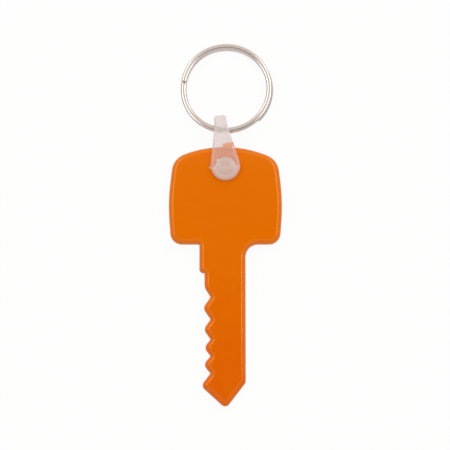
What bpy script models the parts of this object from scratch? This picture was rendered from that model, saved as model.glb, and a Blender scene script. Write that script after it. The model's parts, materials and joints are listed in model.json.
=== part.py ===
# Plastic keychain: a flat key-shaped tag, a folded snap strap through its hole, and a split ring in the strap.
# It lies face up on a surface: +Y is the ring end, +Z is up, and the origin is at the middle of its footprint.
import math

import bpy
from mathutils import Matrix, Vector
from mathutils.geometry import delaunay_2d_cdt

MM = 0.001

# Key body, in millimetres from the middle of its strap hole, with +Y towards the ring
BODY_THICKNESS = 3.0
FRONT_ROUND = 1.5
BACK_ROUND = 0.7
HEAD_WIDTH = 30.0
HEAD_TOP = 5.4
HEAD_BOTTOM = 20.7
CROWN_RADIUS = 30.0
CROWN_OFFSET = -0.3
CROWN_SLOPE = math.radians(21)
SHOULDER_RADIUS = 5.2
WIDEST_DROP = 9.4
SIDE_RADIUS = 54.0
UPPER_SIDE_LEAN = math.radians(6.7)
LOWER_SIDE_LEAN = math.radians(4.6)
HEAD_CORNER_RADIUS = 3.15
STEM_RIGHT = 5.32
STEM_LEFT = 6.88
NECK_FILLET = 3.3
INNER_FILLET = 0.4
STEP_DROP = 28.3
STEP_OUTER_RADIUS = 1.1
STEP_INNER_RADIUS = 0.3
BIT_LEFT = 5.53
BIT_TOP_DROP = 32.1
BIT_TOP_RADIUS = 2.9
NOTCH_LEFT = 3.95
NOTCH_RADIUS = 0.2
NOTCH_DROPS = (34.55, 40.4, 45.6, 49.95, 54.4)
TOOTH_REACHES = (5.95, 5.78, 5.65, 5.84)
TOOTH_RADIUS = 1.55
LAST_TOOTH_REACH = 6.45
LAST_TOOTH_DROP = 57.65
LAST_TOOTH_RADIUS = 1.45
RIGHT_CORNER_DROP = 56.8
RIGHT_CORNER_RADIUS = 0.5
TIP_DROP = 63.55
TIP_OFFSET = 0.1
TIP_RADIUS = 1.4
HOLE_RADIUS = 2.7

# Snap strap, one moulding folded over the edge of the head
LEG_THICKNESS = 1.1
EDGE_BEVEL = 0.55
STRAP_END_RADIUS = 3.87
STRAP_FLARE_REACH = 0.9
STRAP_FLARE_RADIUS = 6.0
STRAP_WAIST_REACH = 10.0
STRAP_WAIST_HALF_WIDTH = 1.95
STRAP_WAIST_RADIUS = 14.0
STRAP_FOLD_REACH = 14.1
STRAP_FOLD_HALF_WIDTH = 1.62
FOLD_EASE = 1.2
FOLD_EASE_RADIUS = 3.0
STRAP_LEAN = math.radians(6.3)
FACE_GAP = 0.25
SOCKET_CLEARANCE = 0.2
SOCKET_BORE_RADIUS = 1.35
SOCKET_ROOF = 0.5
SNAP_CLEARANCE = 0.15
SNAP_BULB = 0.1
SNAP_BULB_DROP = 0.7
SNAP_NECK_DROP = 1.1

# Split ring of flattened wire
RING_RADIUS = 12.5
WIRE_WIDTH = 1.6
WIRE_HEIGHT = 1.1
WIRE_ROUND = 0.42
TURN_GAP = 0.06
RING_REACH = 21.7
RING_OFFSET = 0.42
LOWER_END = math.radians(-46)
RISE_START = math.radians(171)
RISE_SWEEP = math.radians(143)
RING_SEAT_GAP = 0.55

# How finely the round stretches are cut
ARC_ERROR = 0.02
LONGEST_SIDE = 2.4
STRAP_LONGEST_SIDE = 0.55
SHORTEST_SIDE = 0.01
SAME_POINT = 1e-7
INSET_ERROR = 0.02
FLAT_RING_DEPTH = 0.3
ROUND_RINGS = 3
POINT_SPACING = 0.22
FOLD_STEPS = 12
FOLD_COLUMNS = (-0.7, 0.0, 0.7)
SECTION_STEPS = 2
TURNED_SIDES = 28
RING_STEP = math.radians(7.5)
SHARP_EDGE = math.radians(35)
SHARP_WIRE_EDGE = math.radians(50)

# Worked out from the sizes above
HALF_BODY = BODY_THICKNESS / 2
CROWN_APEX = HEAD_TOP + CROWN_RADIUS * (1 / math.cos(CROWN_SLOPE) - 1)
LOOP_HALF_GAP = HALF_BODY + FACE_GAP
STRAP_BACK = LOOP_HALF_GAP + LEG_THICKNESS
FOLD_START = STRAP_FOLD_REACH - STRAP_BACK
RING_HEIGHT = 2 * WIRE_HEIGHT + TURN_GAP
RING_MIDDLE = RING_RADIUS - WIRE_WIDTH / 2
SOCKET_RADIUS = HOLE_RADIUS - SOCKET_CLEARANCE


def clear_scene():
    for thing in list(bpy.data.objects):
        bpy.data.objects.remove(thing, do_unlink=True)


def principled(name, colour, roughness, metallic=0.0, transmission=0.0):
    material = bpy.data.materials.new(name)
    material.use_nodes = True
    shader = material.node_tree.nodes["Principled BSDF"]
    shader.inputs["Base Color"].default_value = (*colour, 1.0)
    shader.inputs["Roughness"].default_value = roughness
    shader.inputs["Metallic"].default_value = metallic
    shader.inputs["Transmission Weight"].default_value = transmission
    return material


def orange_plastic():
    return principled("orange_plastic", (0.78, 0.16, 0.003), 0.35)


def clear_plastic():
    return principled("translucent_plastic", (0.8, 0.74, 0.72), 0.35, transmission=0.6)


def nickel():
    return principled("nickel_plate", (0.66, 0.6, 0.56), 0.25, metallic=1.0)


class Outline:
    """A closed plate outline: polygon corners rounded by arcs, given counter-clockwise as (x, y, radius)."""

    def __init__(self, corners, longest_side):
        self.points = []
        self.spines = []
        radii = self.fitting_radii(corners)
        for index, radius in enumerate(radii):
            self.add_corner(*self.corner_lines(corners, index), radius)
        self.split_sides(longest_side)

    @staticmethod
    def corner_lines(corners, index):
        before = Vector(corners[index - 1][:2])
        here = Vector(corners[index][:2])
        after = Vector(corners[(index + 1) % len(corners)][:2])
        return before, here, after

    def fitting_radii(self, corners):
        """The corners' radii, each made smaller where two arcs would overlap on the side between them."""
        reaches = []
        for index, corner in enumerate(corners):
            before, here, after = self.corner_lines(corners, index)
            half_angle = (before - here).angle(after - here) / 2
            reaches.append(corner[2] / math.tan(half_angle))
        shares = [1.0] * len(corners)
        for index in range(len(corners)):
            following = (index + 1) % len(corners)
            side = (Vector(corners[following][:2]) - Vector(corners[index][:2])).length
            share = side / max(side, reaches[index] + reaches[following])
            shares[index] = min(shares[index], share)
            shares[following] = min(shares[following], share)
        return [corner[2] * share for corner, share in zip(corners, shares)]

    def add_corner(self, before, here, after, radius):
        to_before = (before - here).normalized()
        to_after = (after - here).normalized()
        half_angle = to_before.angle(to_after) / 2
        half_turn = math.pi / 2 - half_angle
        bisector = (to_before + to_after).normalized()
        centre = here + bisector * (radius / math.sin(half_angle))
        convex = to_after.cross(to_before) > 0
        swing = half_turn if convex else -half_turn
        step_angle = 2 * math.acos(max(0.0, 1 - ARC_ERROR / radius))
        steps = max(2, math.ceil(2 * half_turn / step_angle))
        outward = -bisector * radius
        for step in range(steps + 1):
            turn = swing * (2 * step / steps - 1)
            self.points.append(centre + Matrix.Rotation(turn, 2) @ outward)
        if convex:
            self.spines.append((centre, bisector, radius, half_angle))

    def split_sides(self, longest_side):
        whole = []
        for index, here in enumerate(self.points):
            side = self.points[(index + 1) % len(self.points)] - here
            if side.length < SHORTEST_SIDE:
                continue
            pieces = math.ceil(side.length / longest_side)
            for piece in range(pieces):
                whole.append(here + side * (piece / pieces))
        self.points = whole

    def depth(self, point):
        """The distance from a point inside to the nearest side."""
        best = math.inf
        count = len(self.points)
        for index in range(count):
            start = self.points[index]
            side = self.points[(index + 1) % count] - start
            share = (point - start).dot(side) / side.length_squared
            share = min(1.0, max(0.0, share))
            best = min(best, (point - start - side * share).length)
        return best

    def inset(self, distance, spacing):
        """Points that lie at one distance inside the outline, with the ones that fall in a corner left out."""
        kept = []
        count = len(self.points)
        candidates = []
        for centre, bisector, radius, half_angle in self.spines:
            if radius < distance:
                candidates.append(centre + bisector * ((distance - radius) / math.sin(half_angle)))
        for index in range(count):
            chord = self.points[(index + 1) % count] - self.points[index - 1]
            inward = Vector((-chord.y, chord.x)).normalized()
            candidates.append(self.points[index] + inward * distance)
        for point in candidates:
            near = any((point - other).length < spacing for other in kept)
            if not near and self.depth(point) > distance - INSET_ERROR:
                kept.append(point)
        return kept


def circle(radius, sides, centre=(0.0, 0.0)):
    points = []
    for side in range(sides):
        angle = math.tau * side / sides
        points.append(Vector((centre[0] + radius * math.cos(angle), centre[1] + radius * math.sin(angle))))
    return points


def loop_edges(first, count):
    return [(first + index, first + (index + 1) % count) for index in range(count)]


def face_of_plate(loops, inner_points):
    """Triangles that fill the first loop and leave the others open, with each loop's own points as indices.

    The other loops are convex, so a triangle with all its corners on one of them lies in its hole.
    """
    points = []
    edges = []
    starts = []
    for loop in loops:
        starts.append(len(points))
        edges += loop_edges(len(points), len(loop))
        points += loop
    points += inner_points
    made, _, triangles, origins, _, _ = delaunay_2d_cdt(points, edges, [], 1, SAME_POINT)
    place = {}
    for index, sources in enumerate(origins):
        for source in sources:
            place[source] = index
    loop_indices = []
    for start, loop in zip(starts, loops):
        loop_indices.append([place[start + index] for index in range(len(loop))])
    holes = [set(loop) for loop in loop_indices[1:]]
    kept = [tuple(face) for face in triangles if not any(hole.issuperset(face) for hole in holes)]
    return [Vector(point) for point in made], kept, loop_indices


def plate(outline, holes, tops, bottoms, extra_points=()):
    """A plate's vertices and faces. Each of tops and bottoms is (depths of its rings, height at a depth)."""
    vertices = []
    faces = []
    rims = []
    for (depths, height), upward in ((tops, True), (bottoms, False)):
        inner = []
        for distance in depths:
            inner += outline.inset(distance, POINT_SPACING)
        inner += [point for point in extra_points if outline.depth(point) > max(depths) + POINT_SPACING]
        level_points, triangles, loops = face_of_plate([outline.points, *holes], inner)
        base = len(vertices)
        rim = set(loops[0])
        for index, point in enumerate(level_points):
            level = height(0.0) if index in rim else height(outline.depth(point))
            vertices.append(Vector((point.x, point.y, level)))
        for a, b, c in triangles:
            first = level_points[a]
            up = (level_points[b] - first).cross(level_points[c] - first) > 0
            corner = (a, b, c) if up == upward else (a, c, b)
            faces.append(tuple(base + index for index in corner))
        rims.append([[base + index for index in loop] for loop in loops])
    for number, (top, bottom) in enumerate(zip(*rims)):
        count = len(top)
        for index in range(count):
            following = (index + 1) % count
            wall = (bottom[index], bottom[following], top[following], top[index])
            faces.append(wall if number == 0 else wall[::-1])
    return vertices, faces


def round_over(radius, level, sign):
    """Ring depths and the height at a depth for an edge rounded by a quarter circle."""
    depths = [radius * (1 - math.cos(math.pi / 2 * ring / ROUND_RINGS)) for ring in range(1, ROUND_RINGS + 1)]

    def height(depth):
        short = max(0.0, radius - depth)
        return level - sign * (radius - math.sqrt(max(0.0, radius ** 2 - short ** 2)))

    return depths, height


def bevelled(width, level):
    return [width], lambda depth: level - max(0.0, width - depth)


def flat(level):
    return [FLAT_RING_DEPTH], lambda _: level


def add_object(name, vertices, faces, material=None, smooth_angle=None):
    mesh = bpy.data.meshes.new(name)
    mesh.from_pydata([vertex * MM for vertex in vertices], [], faces)
    mesh.validate()
    if smooth_angle:
        mesh.shade_smooth()
        mesh.set_sharp_from_angle(angle=smooth_angle)
    thing = bpy.data.objects.new(name, mesh)
    bpy.context.scene.collection.objects.link(thing)
    if material:
        mesh.materials.append(material)
    return thing


def meet(first, first_angle, second, second_angle):
    """Where two lines meet, each given by a point and a direction."""
    first_way = Vector((math.cos(first_angle), math.sin(first_angle)))
    second_way = Vector((math.cos(second_angle), math.sin(second_angle)))
    return first + first_way * ((second - first).cross(second_way) / first_way.cross(second_way))


def apex_rise(radius, half_turn):
    """How far the corner of two tangents lies outside the arc that rounds it."""
    return radius * (1 / math.cos(half_turn) - 1)


def head_side(side):
    """One side of the head, from its lower corner to its shoulder: side is 1 on the right and -1 on the left."""
    crown = Vector((side * CROWN_OFFSET, CROWN_APEX))
    side_bulge = apex_rise(SIDE_RADIUS, (UPPER_SIDE_LEAN + LOWER_SIDE_LEAN) / 2)
    widest = Vector((HEAD_WIDTH / 2 + side_bulge, -WIDEST_DROP))
    shoulder = meet(crown, -CROWN_SLOPE, widest, math.pi / 2 + UPPER_SIDE_LEAN)
    bottom = meet(widest, -math.pi / 2 - LOWER_SIDE_LEAN, Vector((0, -HEAD_BOTTOM)), 0)
    return [
        (side * bottom.x, bottom.y, HEAD_CORNER_RADIUS),
        (side * widest.x, widest.y, SIDE_RADIUS),
        (side * shoulder.x, shoulder.y, SHOULDER_RADIUS),
    ]


def tooth_corners():
    """The cut edge, from the first notch down to the last tooth."""
    corners = []
    for index, reach in enumerate(TOOTH_REACHES):
        middle = (NOTCH_DROPS[index] + NOTCH_DROPS[index + 1]) / 2
        corners.append((-NOTCH_LEFT, -NOTCH_DROPS[index], NOTCH_RADIUS))
        corners.append((-reach, -middle, TOOTH_RADIUS))
    corners.append((-NOTCH_LEFT, -NOTCH_DROPS[-1], NOTCH_RADIUS))
    corners.append((-LAST_TOOTH_REACH, -LAST_TOOTH_DROP, LAST_TOOTH_RADIUS))
    return corners


def key_outline():
    corners = [
        (TIP_OFFSET, -TIP_DROP, TIP_RADIUS),
        (STEM_RIGHT, -RIGHT_CORNER_DROP, RIGHT_CORNER_RADIUS),
        (STEM_RIGHT, -HEAD_BOTTOM, NECK_FILLET),
        *head_side(1),
        (CROWN_OFFSET, CROWN_APEX, CROWN_RADIUS),
        *head_side(-1)[::-1],
        (-STEM_LEFT, -HEAD_BOTTOM, INNER_FILLET),
        (-STEM_LEFT, -STEP_DROP, STEP_OUTER_RADIUS),
        (-BIT_LEFT, -STEP_DROP, STEP_INNER_RADIUS),
        (-BIT_LEFT, -BIT_TOP_DROP, BIT_TOP_RADIUS),
        *tooth_corners(),
    ]
    return Outline(corners, LONGEST_SIDE)


def key_body(outline, parent):
    vertices, faces = plate(
        outline,
        [circle(HOLE_RADIUS, TURNED_SIDES)],
        round_over(FRONT_ROUND, HALF_BODY, 1),
        round_over(BACK_ROUND, -HALF_BODY, -1),
    )
    body = add_object("key_body", vertices, faces, orange_plastic(), SHARP_EDGE)
    body.parent = parent
    return body


def strap_outline(far_end):
    """The strap as moulded, before it is folded: both round ends and the narrow middle, along Y."""
    side = [
        (STRAP_END_RADIUS, -STRAP_END_RADIUS, STRAP_END_RADIUS),
        (STRAP_END_RADIUS, STRAP_FLARE_REACH, STRAP_FLARE_RADIUS),
        (STRAP_WAIST_HALF_WIDTH, STRAP_WAIST_REACH, STRAP_WAIST_RADIUS),
        (STRAP_FOLD_HALF_WIDTH, FOLD_START + FOLD_EASE, FOLD_EASE_RADIUS),
    ]
    mirrored = [(x, far_end - y, radius) for x, y, radius in side[::-1]]
    right = [*side, *mirrored]
    left = [(-x, y, radius) for x, y, radius in right[::-1]]
    return Outline([*right, *left], STRAP_LONGEST_SIDE)


def folded(vertex, fold_length):
    """Where a point of the flat strap goes when the strap is folded round the loop."""
    outward = LOOP_HALF_GAP + vertex.z
    past = vertex.y - FOLD_START
    if past <= 0:
        return Vector((vertex.x, vertex.y, outward))
    if past >= fold_length:
        return Vector((vertex.x, FOLD_START - (past - fold_length), -outward))
    angle = math.pi * past / fold_length
    return Vector((vertex.x, FOLD_START + outward * math.sin(angle), outward * math.cos(angle)))


def turned(name, profile):
    """A closed solid turned about Z from (radius, height) points that start and end on the axis."""
    vertices = []
    faces = []
    inner = profile[1:-1]
    for radius, height in inner:
        for point in circle(radius, TURNED_SIDES):
            vertices.append(Vector((point.x, point.y, height)))
    first = len(vertices)
    vertices.append(Vector((0, 0, profile[0][1])))
    vertices.append(Vector((0, 0, profile[-1][1])))
    for ring in range(len(inner) - 1):
        low = ring * TURNED_SIDES
        for start, end in loop_edges(low, TURNED_SIDES):
            faces.append((start, end, end + TURNED_SIDES, start + TURNED_SIDES))
    last = (len(inner) - 1) * TURNED_SIDES
    for start, end in loop_edges(0, TURNED_SIDES):
        faces.append((first, end, start))
        faces.append((first + 1, start + last, end + last))
    piece = add_object(name, vertices, faces)
    piece.hide_render = True
    piece.display_type = "WIRE"
    return piece


def snap_socket():
    """The socket under the front end, from its mouth up into the strap, with the bore as a re-entrant profile."""
    mouth = -LOOP_HALF_GAP + FACE_GAP
    roof = LOOP_HALF_GAP - SOCKET_ROOF
    return turned("snap_socket_form", [
        (0, roof),
        (SOCKET_BORE_RADIUS, roof),
        (SOCKET_BORE_RADIUS, mouth),
        (SOCKET_RADIUS, mouth),
        (SOCKET_RADIUS, LOOP_HALF_GAP + LEG_THICKNESS / 2),
        (0, LOOP_HALF_GAP + LEG_THICKNESS / 2),
    ])


def snap_pin():
    """The pin on the back end, with a small bulb near its top that snaps into the socket."""
    radius = SOCKET_BORE_RADIUS - SNAP_CLEARANCE - SNAP_BULB
    top = LOOP_HALF_GAP - SOCKET_ROOF - SNAP_CLEARANCE
    return turned("snap_pin_form", [
        (0, -LOOP_HALF_GAP - LEG_THICKNESS / 2),
        (radius, -LOOP_HALF_GAP - LEG_THICKNESS / 2),
        (radius, top - SNAP_NECK_DROP),
        (radius + SNAP_BULB, top - SNAP_BULB_DROP),
        (radius, top),
        (0, top),
    ])


def snap_strap(parent):
    fold_length = math.pi * LOOP_HALF_GAP
    far_end = 2 * FOLD_START + fold_length
    extra = []
    for step in range(FOLD_STEPS + 1):
        along = FOLD_START + fold_length * step / FOLD_STEPS
        extra += [Vector((across, along)) for across in FOLD_COLUMNS]
    outline = strap_outline(far_end)
    vertices, faces = plate(outline, [], bevelled(EDGE_BEVEL, LEG_THICKNESS), flat(0.0), extra)
    vertices = [folded(vertex, fold_length) for vertex in vertices]
    strap = add_object("snap_strap", vertices, faces, clear_plastic(), SHARP_EDGE)
    strap.parent = parent
    for form in (snap_socket(), snap_pin()):
        form.parent = parent
        union = strap.modifiers.new(form.name, "BOOLEAN")
        union.operation = "UNION"
        union.solver = "EXACT"
        union.object = form
    return strap


def wire_section():
    """The flattened wire's section, as (outward, up) points in order."""
    points = []
    across = WIRE_WIDTH / 2 - WIRE_ROUND
    up = WIRE_HEIGHT / 2 - WIRE_ROUND
    for quarter in range(4):
        corner_x = across if quarter in (0, 3) else -across
        corner_y = up if quarter in (0, 1) else -up
        for step in range(SECTION_STEPS + 1):
            angle = math.pi / 2 * (quarter + step / SECTION_STEPS)
            points.append((corner_x + WIRE_ROUND * math.cos(angle), corner_y + WIRE_ROUND * math.sin(angle)))
    return points


def ring_level(angle):
    """The wire's height at an angle: low, then a smooth rise, then high."""
    share = min(1.0, max(0.0, (angle - RISE_START) / RISE_SWEEP))
    eased = (1 - math.cos(math.pi * share)) / 2
    return (WIRE_HEIGHT + TURN_GAP) * (eased - 0.5)


def split_ring(parent, centre, heading):
    """The coil, turned so that its two ends keep their places as seen from above."""
    section = wire_section()
    count = len(section)
    upper_end = RISE_START + math.tau
    steps = math.ceil((upper_end - LOWER_END) / RING_STEP)
    vertices = []
    faces = []
    for step in range(steps + 1):
        angle = LOWER_END + (upper_end - LOWER_END) * step / steps
        for outward, up in section:
            reach = RING_MIDDLE + outward
            around = angle - heading
            place = Vector((reach * math.cos(around), reach * math.sin(around), ring_level(angle) + up))
            vertices.append(centre + place)
    for step in range(steps):
        low = step * count
        for start, end in loop_edges(low, count):
            faces.append((start, start + count, end + count, end))
    faces.append(tuple(range(count)))
    faces.append(tuple(steps * count + index for index in reversed(range(count))))
    ring = add_object("split_ring", vertices, faces, nickel(), SHARP_WIRE_EDGE)
    ring.parent = parent
    return ring


def empty(name, parent=None):
    thing = bpy.data.objects.new(name, None)
    bpy.context.scene.collection.objects.link(thing)
    thing.parent = parent
    return thing


def rest_pose(key_reach):
    """The tilt and lift of the keychain: the strap's back end raises the head, and the key's tip lies down."""
    tip_contact = key_reach - BACK_ROUND
    strap_contact = STRAP_END_RADIUS - EDGE_BEVEL
    tilt = math.atan((STRAP_BACK - HALF_BODY) / (tip_contact - strap_contact))
    lift = strap_contact * math.sin(tilt) + STRAP_BACK * math.cos(tilt)
    return tilt, lift


def ring_crossing():
    """Where the ring's wire crosses the strap's middle line, and the way from there to the ring's centre."""
    ring_centre = Vector((RING_OFFSET, RING_REACH, 0))
    strap_line = Vector((-math.sin(STRAP_LEAN), math.cos(STRAP_LEAN), 0))
    along = ring_centre.dot(strap_line)
    aside = (ring_centre - strap_line * along).length
    crossing = strap_line * (along - math.sqrt(RING_MIDDLE ** 2 - aside ** 2))
    to_centre = ring_centre - crossing
    crossing.z = RING_SEAT_GAP + WIRE_HEIGHT / 2 - LOOP_HALF_GAP
    return crossing, to_centre


def build():
    clear_scene()
    outline = key_outline()
    key_reach = -min(point.y for point in outline.points)
    tilt, lift = rest_pose(key_reach)
    rest = empty("rest_frame")
    rest.rotation_euler = (tilt, 0, 0)
    rest.location = Vector((0, (key_reach - RING_REACH - RING_RADIUS) / 2, lift)) * MM
    key_body(outline, rest)

    strap_pivot = empty("strap_pivot", rest)
    strap_pivot.rotation_euler = (0, 0, STRAP_LEAN)
    snap_strap(strap_pivot)

    # The ring turns about its own wire inside the strap's loop, and its far side lies on the surface
    crossing, to_centre = ring_crossing()
    level = ring_level(math.atan2(-to_centre.y, -to_centre.x) + math.tau)
    hinge_height = lift + crossing.y * math.sin(tilt) + crossing.z * math.cos(tilt)
    drop = math.asin((hinge_height - level - RING_HEIGHT / 2) / (RING_MIDDLE + RING_RADIUS))
    ring_hinge = empty("ring_hinge", rest)
    ring_hinge.location = crossing * MM
    heading = math.atan2(-to_centre.x, to_centre.y)
    ring_hinge.rotation_euler = (-drop - tilt, 0, heading)
    split_ring(ring_hinge, Vector((0, RING_MIDDLE, -level)), heading)


build()
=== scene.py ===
# Looks of the plastic keychain: an orange key-shaped tag, a milky snap strap and a nickel split ring.
# Sizes of the keychain and the camera's place are millimetres. The studio, the materials and CAMERA_NEAR are
# in metres. Each piece is built in its own frame, which comes from the joints.
import json
import math

import bpy
import numpy as np
from mathutils import Matrix, Vector
from mathutils.geometry import delaunay_2d_cdt


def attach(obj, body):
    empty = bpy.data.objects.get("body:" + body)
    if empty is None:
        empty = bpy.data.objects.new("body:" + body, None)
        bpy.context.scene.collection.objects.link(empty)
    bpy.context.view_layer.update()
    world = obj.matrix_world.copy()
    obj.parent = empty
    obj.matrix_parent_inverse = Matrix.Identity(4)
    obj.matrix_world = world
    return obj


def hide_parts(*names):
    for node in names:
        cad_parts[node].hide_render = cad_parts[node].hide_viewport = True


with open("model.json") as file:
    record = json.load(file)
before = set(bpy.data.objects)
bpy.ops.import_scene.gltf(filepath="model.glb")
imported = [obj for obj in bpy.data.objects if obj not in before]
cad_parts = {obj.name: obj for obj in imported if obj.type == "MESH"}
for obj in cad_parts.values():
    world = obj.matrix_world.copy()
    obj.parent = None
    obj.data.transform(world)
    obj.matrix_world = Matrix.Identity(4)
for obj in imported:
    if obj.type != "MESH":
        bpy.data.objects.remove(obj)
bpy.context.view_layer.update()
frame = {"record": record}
MM = 0.001

# Camera, as fitted to the photograph
CAMERA_LENS = 90.0
CAMERA_SENSOR = 36.0
CAMERA_NEAR = 0.01
CAMERA_DISTANCE = 300.0
CAMERA_LEAN = math.radians(8)
CAMERA_AIM = (-0.11, -0.78)

# Studio: the dark patch, TIP_SIDE, PANEL_EDGE and RING_SIDE are parts of a unit direction
UPPER_LIGHT = 0.9
DARK_PATCH_LIGHT = 0.03
DARK_PATCH_MIDDLE = 0.035
DARK_PATCH_HALF_WIDTH = 0.42
DARK_PATCH_HALF_LENGTH = 0.13
DARK_PATCH_SOFTNESS = (0.9, 1.1)
TIP_SIDE = (-0.6, 0.0)
TIP_SIDE_SHARE = 0.78
PANEL_EDGE = (0.62, 0.82)
BEYOND_PANELS_SHARE = 0.55
RING_SIDE = (0.0, 0.45)
TIP_SIDE_TONE = (1.0, 0.975, 0.97, 1.0)
RING_SIDE_TONE = (1.0, 0.95, 0.87, 1.0)
PANEL_ASIDE = 0.42
PANEL_ALONG = 0.34
PANEL_HEIGHT = 0.62
PANEL_WIDTH = 0.28
PANEL_LENGTH = 0.8
LEFT_PANEL_POWER = 1.4
RIGHT_PANEL_POWER = 1.6
FLOOR_HALF = 2.0
FLOOR_PAPER = (0.88, 0.88, 0.88, 1.0)
FLOOR_WHITE = (1.0, 1.0, 1.0, 1.0)
FLOOR_WHITE_SHARE = 0.93

# Key body, from the middle of its strap hole
BODY_THICKNESS = 3.0
FRONT_ROUND = 1.5
BACK_ROUND = 0.7
HEAD_WIDTH = 30.0
HEAD_TOP = 5.4
HEAD_BOTTOM = 20.7
CROWN_RADIUS = 30.0
CROWN_OFFSET = -0.3
CROWN_SLOPE = math.radians(21)
SHOULDER_RADIUS = 5.2
WIDEST_DROP = 9.4
SIDE_RADIUS = 54.0
UPPER_SIDE_LEAN = math.radians(6.7)
LOWER_SIDE_LEAN = math.radians(4.6)
HEAD_CORNER_RADIUS = 3.15
STEM_RIGHT = 5.32
STEM_LEFT = 6.88
NECK_FILLET = 3.3
INNER_FILLET = 0.4
STEP_DROP = 28.3
STEP_OUTER_RADIUS = 1.1
STEP_INNER_RADIUS = 0.3
BIT_LEFT = 5.53
BIT_TOP_DROP = 32.1
BIT_TOP_RADIUS = 2.9
NOTCH_LEFT = 3.95
NOTCH_RADIUS = 0.2
NOTCH_DROPS = (34.55, 40.4, 45.6, 49.95, 54.4)
TOOTH_REACHES = (5.95, 5.78, 5.65, 5.84)
TOOTH_RADIUS = 1.55
LAST_TOOTH_REACH = 6.45
LAST_TOOTH_DROP = 57.65
LAST_TOOTH_RADIUS = 1.45
RIGHT_CORNER_DROP = 56.8
RIGHT_CORNER_RADIUS = 0.5
TIP_DROP = 63.55
TIP_OFFSET = 0.1
TIP_RADIUS = 1.4
HOLE_RADIUS = 2.7

# Snap strap
LEG_THICKNESS = 1.1
EDGE_BEVEL = 0.55
BEVEL_SOFTNESS = 0.1
FOLD_BEVEL_EXTRA = -0.06
FOLD_BEVEL_RUN = 1.5
INNER_ROUND = 0.16
INNER_ROUND_STEEPEST = 0.2
STRAP_END_RADIUS = 3.87
STRAP_FLARE_REACH = 0.9
STRAP_FLARE_RADIUS = 6.0
STRAP_WAIST_REACH = 10.0
STRAP_WAIST_HALF_WIDTH = 1.95
STRAP_WAIST_RADIUS = 14.0
STRAP_FOLD_REACH = 14.1
STRAP_FOLD_HALF_WIDTH = 1.62
FOLD_EASE = 1.2
FOLD_EASE_RADIUS = 3.0
STRAP_LEAN = math.radians(6.3)
FACE_GAP = 0.25
SOCKET_CLEARANCE = 0.2
SOCKET_BORE_RADIUS = 1.35
SOCKET_ROOF = 0.5
SNAP_CLEARANCE = 0.15
SNAP_BULB = 0.1
SNAP_BULB_DROP = 0.7
SNAP_NECK_DROP = 1.1
DIMPLE_RADIUS = 1.0
DIMPLE_DEPTH = 0.07
RIM_LINE_RADIUS = 2.6
RIM_LINE_DEPTH = 0.05
RIM_LINE_WIDTH = 0.12
GATE_PLACE = (-3.95, 0.0, 0.45)
GATE_SIZE = (0.42, 0.3, 0.3)
GATE_STEPS = 16

# Where the strap's milky plastic changes its look, on the flat strap from the middle of each round end
MASKS = ("opacity", "loop", "painted_refraction", "socket", "thick", "arc", "line")
MARKS_DROP = 0.2
OUTER_FACE = (0.2, 0.5)
SOCKET_TOP = -0.05
SOCKET_BLEND = 0.1
THICK_TOP = (-0.35, 0.05)
# Painted shade in the gap round the socket's upper half, where the key's hole wall lies in shadow
PAINTED_GAP_SHADE_OFFSET = 0.04
PAINTED_GAP_SHADE_WIDTH = 0.11
PAINTED_GAP_SHADE_BOTTOM = (-0.3, 0.2)
PAINTED_GAP_SHADE_THICKNESS = 0.8
DOT_PLACE = (-1.9, 1.7)
DOT_RADIUS = 0.28
DOT_STRENGTH = 1.6
WELD_HEIGHT = 0.45
WELD_WIDTH = 0.12
WELD_STRENGTH = 0.5
WELD_INNER_END = (1.0, 1.5)
# The pale line on the bevels' inner edges is a painted highlight.
BEVEL_LINE_WIDTH = 0.09
BEVEL_LINE_LOSS_THICK = 0.6
BEVEL_LINE_LOSS_LOOP = 0.8
OPACITY_THIN = 0.31
# Beyond the head the strap hides more: painted shade for the shadowed floor behind it.
OPACITY_SHADED_LOOP = 0.76
OPACITY_BY_RING = 0.56
OPACITY_PAINTED_REFRACTION = 0.85
RING_CROSSING = (8.8, 9.2, 10.7, 11.1)
LOOP_START = 4.95
LOOP_BLEND = 0.5
# Where the key's orange is painted on the strap as a painted refraction, just above the head's edge
PAINTED_REFRACTION_HEIGHT = 5.83
PAINTED_REFRACTION_SLOPE = 0.13
PAINTED_REFRACTION_LEFT = -0.35
PAINTED_REFRACTION_LEFT_BLEND = 0.35
PAINTED_REFRACTION_TOP = (-0.3, 0.25)
PAINTED_REFRACTION_BOTTOM = (4.5, 4.75)
OPACITY_THICK = 0.64
OPACITY_OVER_SOCKET = 0.72
OPACITY_SOCKET = 0.3

# Split ring
RING_RADIUS = 12.5
WIRE_WIDTH = 1.6
WIRE_HEIGHT = 1.1
WIRE_SQUARENESS = 2.2
TURN_GAP = 0.06
PINCH = 0.28
PINCH_MIDDLE = math.radians(355)
PINCH_HALF_SPAN = math.radians(105)
LOWER_END = math.radians(-46)
RISE_START = math.radians(171)
RISE_SWEEP = math.radians(143)
END_BEVEL = 0.16

# Orange plastic
ORANGE_HEAD = (0.785, 0.158, 0.0003, 1.0)
# The stem's colour is painted shade: the key is painted darker and redder towards its tip, where less light
# falls.
ORANGE_STEM_IN_PAINTED_SHADE = (0.76, 0.120, 0.0003, 1.0)
ORANGE_MOTTLE = (0.79, 0.175, 0.0003, 1.0)
STEM_PAINTED_SHADE_END = -0.045
MOTTLE_SCALE = 260.0
MOTTLE_SPAN = (0.35, 0.7)
MOTTLE_SHARE = 0.3
ORANGE_HAZE_SCALE = 900.0
ORANGE_ROUGHNESS = (0.09, 0.13)
ORANGE_SPECULAR = 0.48
ORANGE_SPECULAR_TINT = (0.8, 1.0, 0.4, 1.0)
GRAIN_SCALE = 5200.0
GRAIN_SHARE = 0.25
RIPPLE_SCALE = 420.0
RELIEF_STRENGTH = 0.12
RELIEF_HEIGHT = 0.00003

# Milky plastic
CLOUD_SCALE = 350.0
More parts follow.
